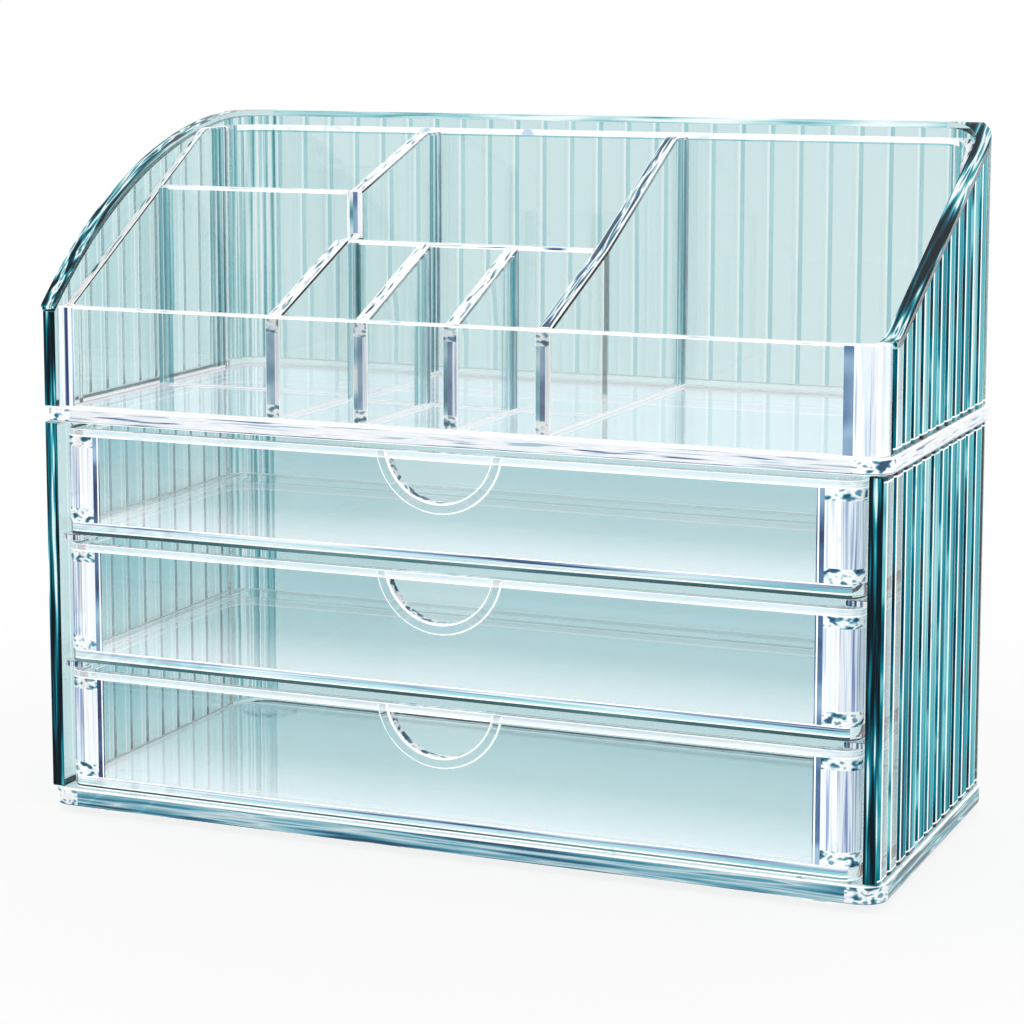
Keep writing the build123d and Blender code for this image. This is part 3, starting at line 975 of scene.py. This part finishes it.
# painted stripes of highlight and reflection on the post's front and on the corner's return
return_bars = ((0, 3.0, navy_bar), (3.0, 6.0, pale_bar), (6.0, 9.8, lilac_bar),
               (9.8, 10.6, painted_highlight_line), (10.6, 13.0, pale_band))
split(bm, X, post_edge, *[corner_edge + start for start, end, finish in return_bars])
dress(bm, upright, lambda c, n: abs(n.z) < tilt and c.x < post_edge and n.y < -0.02)
for start, end, finish in return_bars:
    dress(bm, finish, lambda c, n: abs(n.z) < tilt and start < c.x - corner_edge < end and n.y < -0.02)
finish_piece(bm, "tray_front_wall", "tray", "tray_front")

# %% [markdown]
# ## Liners and dividers
# Clear sheets line the tray's left and rear walls, and others divide its floor. They stand on
# edge, so each one is drawn as its side view and extruded by the sheet's thickness.

# %% Liners and dividers
liner_thickness = 3.0
sheet_bend = 8.0
liner_x = -inner_x + liner_thickness
liner_rear = inner_rear - liner_thickness
liner_joint = box_mm("liner_left")[1].y
liner_top = box_mm("liner_rear")[1].z
divider_top = liner_top - 1.0
divider_level = liner_rear - 12.0
low_top = box_mm("cross_divider_low")[1].z
tall_top = box_mm("cross_divider_tall")[1].z
cross_front = box_mm("cross_divider_low")[0].y
tall_front = box_mm("cross_divider_tall")[0].y
glow_depth = 9.0
foot_height = 4.5
foot_line = 0.9
head_height = 5.5
end_column = 4.0
low_zone = 8.0
liner_level = 14.9
liner_round = 0.9


def standing(name, node, line, x0, x1, round_top=sheet_round, top=slope):
    """A sheet on edge, front to back, under a line of side-view corners (y, z, radius). top is its
    upper finish, of painted highlights and reflections."""
    front, rear = line[0][0], line[-1][0]
    corners = [(front, sheet_foot, 0), *line, (rear, sheet_foot, 0)]
    bm = bmesh.new()
    draw_out(bm, [((x0, y, z), r) for y, z, r in corners], (x1 - x0, 0, 0))
    split(bm, Y, rear - glow_depth)
    split(bm, Z, tray_floor + foot_height, tray_floor + foot_line, front_top - head_height)
    third = (x1 - x0) / 3
    split(bm, X, x0 + third, x1 - third)
    dress(bm, top, lambda c, n: abs(n.x) < 0.1 and n.z > 0.2)
    # the sheet's ends get bars of painted reflection, painted reflection patches at the front, and a
    # painted teal glow near the tinted rear wall
    for i, bar in enumerate((aqua_bar, navy_bar, pale_bar)):
        dress(bm, bar, lambda c, n: abs(n.y) > square and i < (c.x - x0) / third < i + 1)
    dress(bm, painted_reflection_patches, lambda c, n: n.y < -square and c.y < front + 0.5
          and (c.z < tray_floor + foot_height or c.z > front_top - head_height))
    dress(bm, teal_glow, lambda c, n: abs(n.x) > square and c.y > rear - glow_depth)
    upper = sharp_edges(bm, 80, lambda e: any(f.normal.z > 0.2 for f in e.link_faces))
    soften(bm, upper, round_top, 4, top)
    # painted highlight lines on the rounded top and at the foot
    dress(bm, painted_highlight_line, lambda c, n: 0.4 < abs(n.x) < 0.7 and c.z > tray_floor + low_zone)
    dress(bm, clear, lambda c, n: 0.7 < abs(n.x) < 0.995 and c.z > tray_floor + low_zone)
    dress(bm, painted_highlight_line, lambda c, n: abs(n.x) > square and c.z < tray_floor + foot_line)
    soften(bm, sharp_edges(bm), polish, 2, painted_highlight_line)
    finish_piece(bm, name, "tray", node)


standing("left_liner_sheet", "liner_left", [
    (post_rear + AIR, front_top, 0), (liner_joint - liner_level, liner_top, sheet_bend),
    (liner_joint - AIR, liner_top, 0),
], -inner_x + AIR, liner_x, liner_round)

to_rear = [(divider_level, divider_top, sheet_bend), (liner_rear - AIR, divider_top, 0)]
to_cross = [(cross_front, low_top, sheet_bend)]
to_step = [(cross_front, low_top, 4), (tall_front, low_top, 0), (tall_front, tall_top, 0)]
for name, node, line, finish in (
    ("left_divider_sheet", "divider_left", to_step + to_rear, slope),
    ("right_divider_sheet", "divider_right", to_cross + to_rear, deep_slope),
    ("left_slot_sheet", "divider_slot_left", [(cross_front - AIR, low_top, 0)], slope),
    ("right_slot_sheet", "divider_slot_right", [(cross_front - AIR, low_top, 0)], slope),
):
    low, high = box_mm(node)
    standing(name, node, [(front_inner + AIR, front_top, 0)] + line, low.x, high.x, top=finish)

for size in ("low", "tall"):
    node = f"cross_divider_{size}"
    low, high = box_mm(node)
    bm = prism(rectangle(low.x + AIR, high.x - AIR, low.y, high.y), sheet_foot, high.z)
    split(bm, X, low.x + end_column)
    # a painted teal glow at the sheet's left end
    dress(bm, teal_glow, lambda c, n: abs(n.y) > square and c.x < low.x + end_column)
    finish_piece(bm, f"{size}_cross_sheet", "tray", node)

# %% Rear liner
liner_line = 1.9
liner_band = 2.5
liner_foot = front_top - 5.0
outer_x, tight_bend = inner_x - AIR, bend - liner_thickness
bm = plate([(-outer_x, liner_joint, 0), (liner_x, liner_joint, 0), (liner_x, liner_rear, tight_bend),
            (-liner_x, liner_rear, tight_bend), (-liner_x, liner_joint, 0), (outer_x, liner_joint, 0),
            (outer_x, inner_rear - AIR, bend), (-outer_x, inner_rear - AIR, bend)],
           sheet_foot, liner_top, 10)
split(bm, Z, liner_top - liner_line, liner_top - liner_band)
split(bm, X, bend_x)
split(bm, Y, *[liner_joint + (liner_rear - liner_joint) * i / 5 for i in range(1, 6)])
for vert in bm.verts:
    if vert.co.z > liner_top - 3 and vert.co.x > bend_x - 0.01:
        drop = liner_top - right_rim(vert.co.y, slope_start, liner_rear, liner_foot, liner_top)
        vert.co.z -= max(drop, 0)
# painted dashes of highlight and reflection on the top, a painted highlight line along its front with
# a painted teal band of shade under it, and painted stripes at the right end
dress(bm, across, lambda c, n: n.z > square)
dress(bm, slope, lambda c, n: 0.3 < n.z < 0.9)
dress(bm, painted_highlight_line, lambda c, n: n.y < -0.2 and n.z < 0.1 and c.z > liner_top - liner_line)
dress(bm, reed_band, lambda c, n: n.y < -0.2 and n.z < 0.1
      and liner_top - liner_band < c.z < liner_top - liner_line)
dress(bm, pale_bar, lambda c, n: n.y < -square and c.x > 0 and c.y < liner_joint + 0.5)
upper = sharp_edges(bm, 55, lambda e: any(f.normal.z > 0.9 for f in e.link_faces))
soften(bm, upper, liner_round, 3, painted_highlight_line)
soften(bm, sharp_edges(bm, 55), polish, 2, painted_highlight_line)
finish_piece(bm, "rear_liner_sheet", "tray", "liner_rear")

# %% [markdown]
# ## Runners and feet
# Narrow ledges on the side walls carry the middle and the top drawer. Four round pads of clear
# soft plastic keep the base slab off the table.

# %% Runners and feet
for level in ("lower", "upper"):
    for side in ("left", "right"):
        low, high = box_mm(f"runner_{level}_{side}")
        x0, x1 = (low.x + AIR, high.x) if side == "left" else (low.x, high.x - AIR)
        bm = prism(rectangle(x0, x1, low.y, high.y), low.z, high.z, 0.3, 0.3, 0)
        # painted stripes of highlight and reflection on the ledge's front
        dress(bm, upright, lambda c, n: n.y < -square)
        finish_piece(bm, f"{level}_{side}_ledge", "cabinet", f"runner_{level}_{side}")

for end in ("front", "rear"):
    for side in ("left", "right"):
        node = f"foot_{end}_{side}"
        low, high = box_mm(node)
        bm = bmesh.new()
        bmesh.ops.create_circle(bm, cap_ends=True, segments=40, radius=(high.x - low.x) / 2)
        middle = ((low.x + high.x) / 2, (low.y + high.y) / 2, low.z)
        bmesh.ops.translate(bm, verts=bm.verts, vec=middle)
        thicken(bm, bm.faces, (0, 0, high.z - low.z - AIR))
        face_outward(bm)
        # painted reflections round the pad and painted highlights on its rounded edges
        dress(bm, painted_reflection_patches, lambda c, n: abs(n.z) < 0.5)
        soften(bm, sharp_edges(bm), 0.5, 3, painted_highlight_line)
        finish_piece(bm, f"{end}_{side}_pad", "cabinet", node)

# %% [markdown]
# ## Table, light and camera
# The organizer stands on a plain white surface in soft light from all round. Clear plastic has no
# colour of its own to light: it shows what is behind it. So reflections and rays that come through
# the plastic see the surface as plain white, while the camera keeps its shadow near the object.

# %% Table
floor_mesh = bpy.data.meshes.new("table_top")
bm = bmesh.new()
table_reach = 6.0
bmesh.ops.create_grid(bm, x_segments=1, y_segments=1, size=table_reach)
bm.to_mesh(floor_mesh)
bm.free()
table_top = bpy.data.objects.new("table_top", floor_mesh)
scene.collection.objects.link(table_top)
material, tree, output = new_material("matt_white_laminate")
surface = add(tree, "BsdfPrincipled",
              {"Base Color": rgba("#F9F9F9"), "Roughness": 0.6, "Specular IOR Level": 0.0})
path = add(tree, "LightPath")
seen = add(tree, "Math", {"operation": "MAXIMUM"},
           {0: path.outputs["Is Glossy Ray"], 1: path.outputs["Is Transmission Ray"]})
place = add(tree, "TexCoord")
distance = add(tree, "VectorMath", {"operation": "LENGTH"}, {0: place.outputs["Object"]})
bright = add(tree, "MapRange", {"From Min": 0.2, "From Max": 0.6, "To Min": 0.82, "To Max": 1.0},
             {"Value": distance.outputs["Value"]})
direct = add(tree, "Math", {"operation": "MULTIPLY"},
             {0: path.outputs["Is Camera Ray"], 1: bright.outputs[0]})
part = add(tree, "Math", {"operation": "MULTIPLY_ADD", 1: 0.9},
           {0: seen.outputs[0], 2: direct.outputs[0]})
white = add(tree, "Emission", {"Color": (1, 1, 1, 1), "Strength": 1.0})
both = add(tree, "MixShader",
           links={0: part.outputs[0], 1: surface.outputs[0], 2: white.outputs[0]})
tree.links.new(both.outputs[0], output.inputs["Surface"])
floor_mesh.materials.append(material)

# %% Light
world = bpy.data.worlds.new("white_studio")
world.use_nodes = True
scene.world = world
tree = world.node_tree
tree.nodes.clear()
sky = add(tree, "Background", {"Color": (1, 1, 1, 1), "Strength": 1.0})
add(tree, "OutputWorld", links={"Surface": sky.outputs[0]})

# %% Camera
# The focal length and the row that the camera looks at are in pixels of the photo.
cam_data = bpy.data.cameras.new("camera")
camera = bpy.data.objects.new("camera", cam_data)
scene.collection.objects.link(camera)
scene.camera = camera
photo_width, focal_length, eye_row = 1024, 2843, 380
cam_data.sensor_width = 36
cam_data.lens = focal_length / photo_width * cam_data.sensor_width
cam_data.shift_y = -(photo_width / 2 - eye_row) / photo_width
heading, tilt = radians(-22.88), radians(7.67)
camera.location = (0.3504, -0.8400, 0.2636)
looking = Vector((sin(heading) * cos(tilt), cos(heading) * cos(tilt), -sin(tilt)))
camera.rotation_mode = "QUATERNION"
camera.rotation_quaternion = looking.to_track_quat("-Z", "Y")

# %% Render depth
# Light crosses some twenty clear walls here, so paths need more bounces than the default.
scene.cycles.max_bounces = 28
scene.cycles.transmission_bounces = 28
scene.cycles.transparent_max_bounces = 12
scene.cycles.glossy_bounces = 8
scene.view_settings.view_transform = "Standard"
